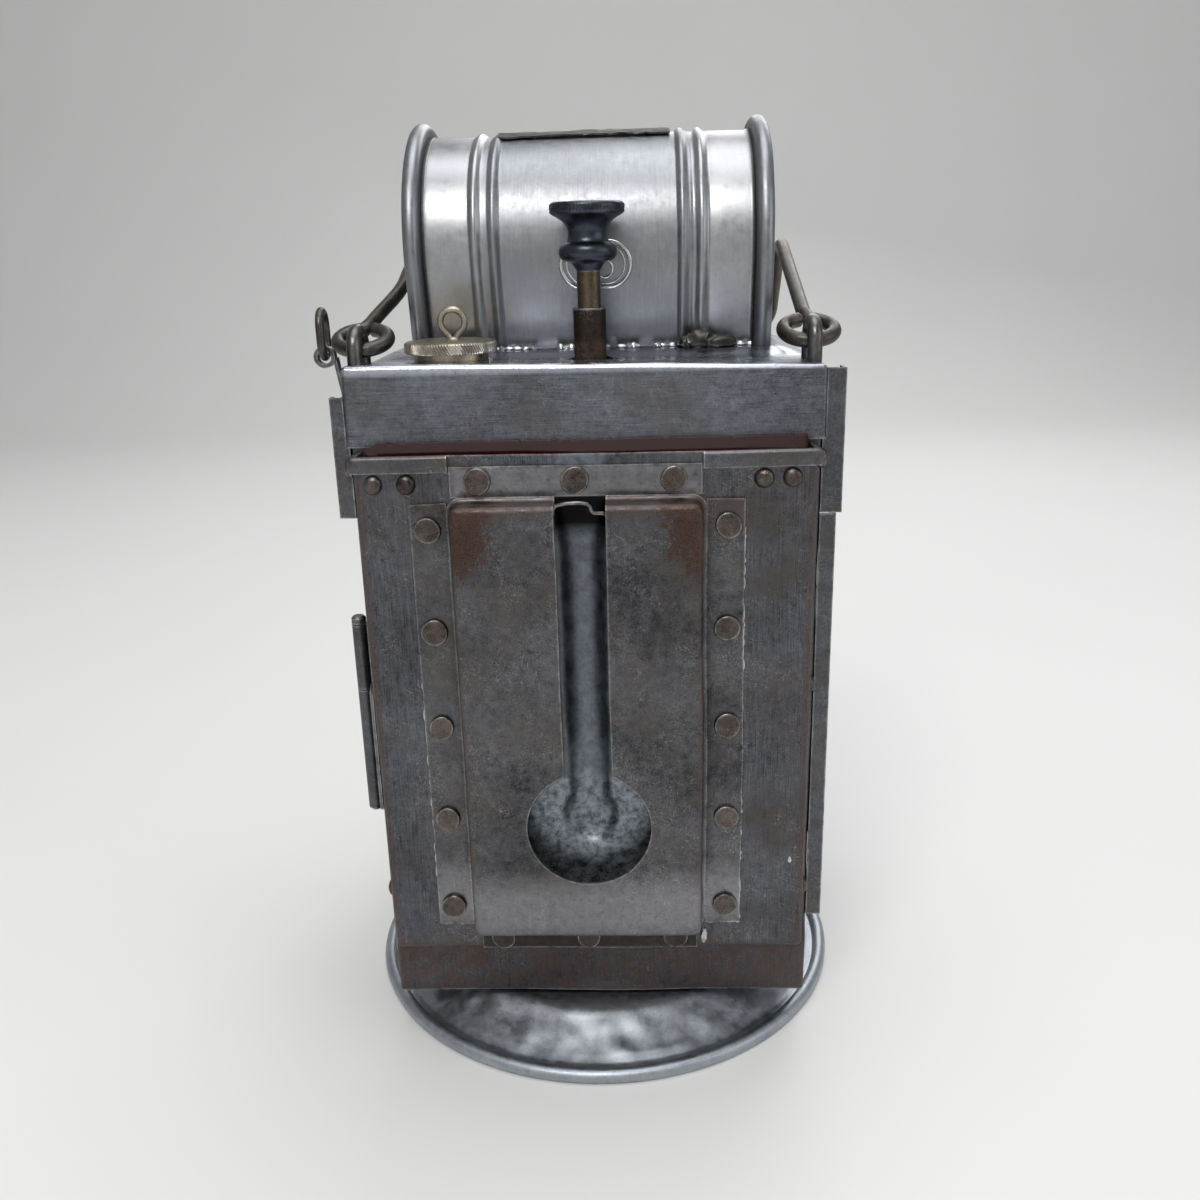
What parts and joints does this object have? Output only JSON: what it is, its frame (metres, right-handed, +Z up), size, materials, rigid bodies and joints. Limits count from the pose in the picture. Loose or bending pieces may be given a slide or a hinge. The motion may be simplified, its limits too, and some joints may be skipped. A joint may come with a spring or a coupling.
{
  "type": "morse signal lamp",
  "caption": "Oil-burning hand signal lamp in tinned sheet with a pressed key and shutter, smoke drum, wire bail, slide-glass pocket and keyhole hanger on a round foot.",
  "frame": {"origin": "centre of the round foot on the surface it stands on", "axes": "+Z up, -Y towards the glass pocket and hanger, +Y towards the lens, +X to the right"},
  "size_m": [0.152, 0.152, 0.265],
  "materials": {
    "tinned_sheet": "worn tinned sheet, dull grey with scratches",
    "drum_tin": "brighter tinned sheet with soft highlights",
    "foot_tin": "dented tinned disc",
    "bare_steel": "plain steel",
    "dark_steel": "dark brown oxidised steel",
    "wire": "steel wire with brown rust",
    "rivet": "steel rivet heads with brown rust",
    "knob_black": "blue-black turned knob",
    "brass": "aged brass",
    "rod_brass": "dull brass rod",
    "red_glass": "dark red slide glass",
    "clear_glass": "clear glass",
    "black_sheet": "sooty black sheet",
    "leather": "seal washer leather",
    "wick_cotton": "cotton wick",
    "mirror_tin": "polished reflector"
  },
  "bodies": {
    "case": {"foot": "foot_tin", "floor_plate": "tinned_sheet", "front_wall": "tinned_sheet", "rear_wall": "tinned_sheet", "left_wall": "tinned_sheet", "right_wall": "tinned_sheet", "top_cover": "tinned_sheet", "pocket_plate": "tinned_sheet", "pocket_hems": "tinned_sheet", "pocket_rivets": "rivet", "hanger_bracket": "tinned_sheet", "bracket_rivets": "rivet", "drum_shell": "drum_tin", "drum_ends": "drum_tin", "vent_cover": "tinned_sheet", "oval_plate": "drum_tin", "key_sleeve": "dark_steel", "key_bridge": "bare_steel", "spring_seat": "bare_steel", "return_spring": "bare_steel", "slotted_screen": "black_sheet", "shutter_guides": "bare_steel", "cap_collar": "drum_tin", "storage_tube": "tinned_sheet", "bail_staples": "wire", "hook_eye": "wire", "hook_strap": "tinned_sheet", "hook_socket": "tinned_sheet", "hinge_leaf": "tinned_sheet", "hinge_pin": "bare_steel", "blind_guides": "tinned_sheet", "guide_mouth": "tinned_sheet", "blind_stop": "tinned_sheet", "side_window": "clear_glass", "lens": "clear_glass", "lens_bezel": "tinned_sheet", "oil_font": "bare_steel", "burner_collar": "brass", "burner_cone": "brass", "wick_tube": "brass", "reflector": "mirror_tin"},
    "key": {"key_knob": "knob_black", "key_rod": "rod_brass", "key_yoke": "bare_steel", "shutter": "black_sheet"},
    "bail": {"bail": "wire"},
    "door": {"side_door": "tinned_sheet", "door_pull": "bare_steel"},
    "glass": {"slide_glass": "red_glass"},
    "blind": {"side_blind": "tinned_sheet"},
    "cap_seal": {"seal_washer": "leather"},
    "cap": {"brass_cap": "brass", "cap_loop": "brass", "cap_plug": "brass"},
    "wick": {"wick": "wick_cotton"},
    "wick_wheel": {"wick_wheel": "brass"}
  },
  "joints": [
    {"name": "key_press", "type": "slide", "parent": "case", "child": "key", "axis": [0, 0, -1], "range_m": [0, 0.009], "stiffness_N_per_m": 250, "springref_m": -0.012, "deforming": ["return_spring"]},
    {"name": "bail_swing", "type": "hinge", "parent": "case", "child": "bail", "pos_m": [0, -0.038, 0.205], "axis": [1, 0, 0], "range_deg": [0, 75]},
    {"name": "door_swing", "type": "hinge", "parent": "case", "child": "door", "pos_m": [-0.0644, -0.0465, 0.1], "axis": [0, 0, 1], "range_deg": [0, 110]},
    {"name": "glass_lift", "type": "slide", "parent": "case", "child": "glass", "axis": [0, 0, 1], "range_m": [0, 0.15]},
    {"name": "blind_lift", "type": "slide", "parent": "case", "child": "blind", "axis": [0, 0, 1], "range_m": [0, 0.06]},
    {"name": "cap_rise", "type": "slide", "parent": "case", "child": "cap_seal", "axis": [0, 0, 1], "range_m": [-0.0008, 0.003]},
    {"name": "cap_turn", "type": "hinge", "parent": "cap_seal", "child": "cap", "pos_m": [-0.036, -0.033, 0.2], "axis": [0, 0, 1], "range_deg": [-200, 724]},
    {"name": "wick_turn", "type": "hinge", "parent": "case", "child": "wick_wheel", "pos_m": [0, 0.0023, 0.066], "axis": [1, 0, 0], "range_deg": [-60, 60]},
    {"name": "wick_lift", "type": "slide", "parent": "case", "child": "wick", "axis": [0, 0, 1], "range_m": [-0.003, 0.003]}
  ],
  "couplings": [
    {"joint": "cap_turn", "follows": "cap_rise", "rad_per_m": 4188.8},
    {"joint": "wick_turn", "follows": "wick_lift", "rad_per_m": -333.33}
  ]
}
